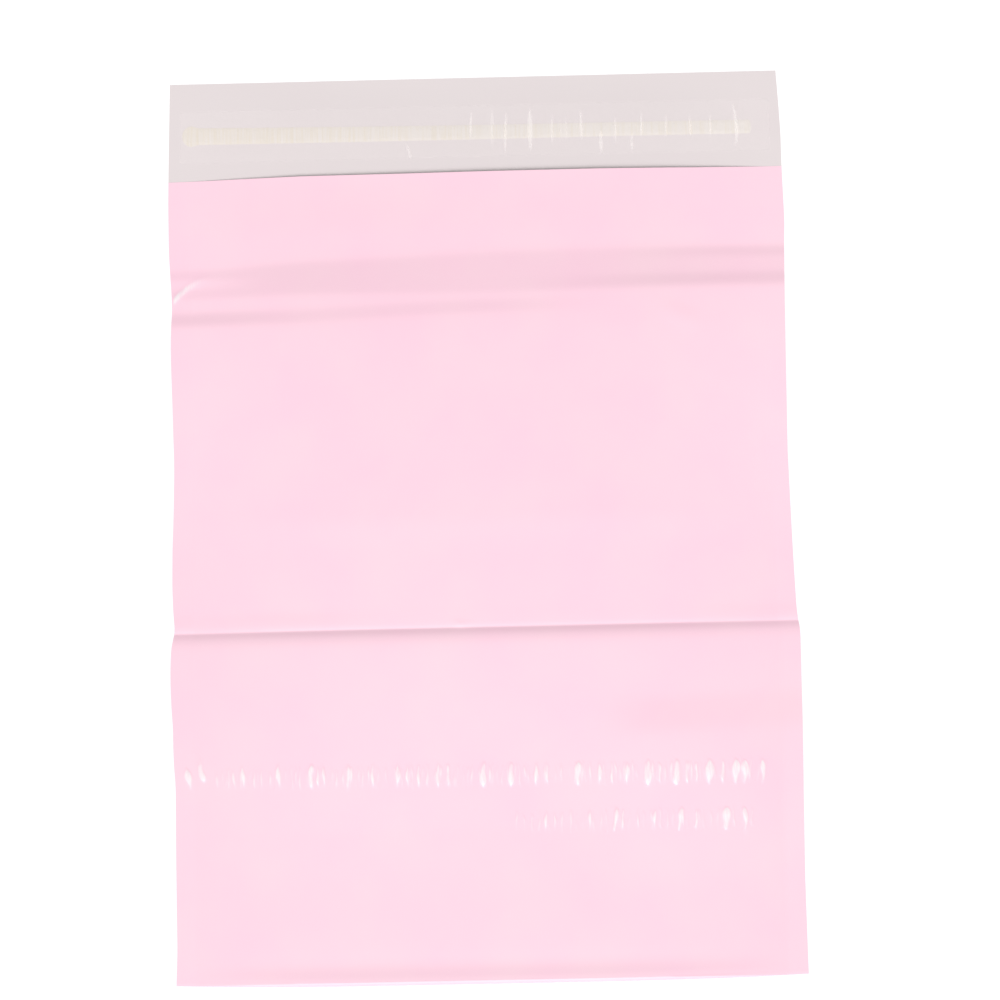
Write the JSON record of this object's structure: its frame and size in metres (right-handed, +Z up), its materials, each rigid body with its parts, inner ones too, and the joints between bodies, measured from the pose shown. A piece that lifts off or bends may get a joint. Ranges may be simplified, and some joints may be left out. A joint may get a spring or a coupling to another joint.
{
  "type": "poly mailer bag",
  "caption": "Flat film mailing bag with welded sides, an open pocket, and a flap that carries an adhesive strip under a clear peel-off liner.",
  "frame": {"origin": "on the surface that the bag lies on, under the middle of its width and of its length with the flap open", "axes": "+X across the bag to the right, +Y from the bottom fold to the flap's edge, +Z up through the back panel and then the front panel"},
  "size_m": [0.254, 0.371, 0.0077],
  "materials": {
    "film": "satin polyethylene film, pink outside and grey-lilac inside",
    "adhesive": "pale yellow hot-melt adhesive",
    "liner": "clear glossy film"
  },
  "bodies": {
    "root": {"film_bag": "film", "adhesive_strip": "adhesive", "release_liner": "liner"}
  },
  "joints": []
}
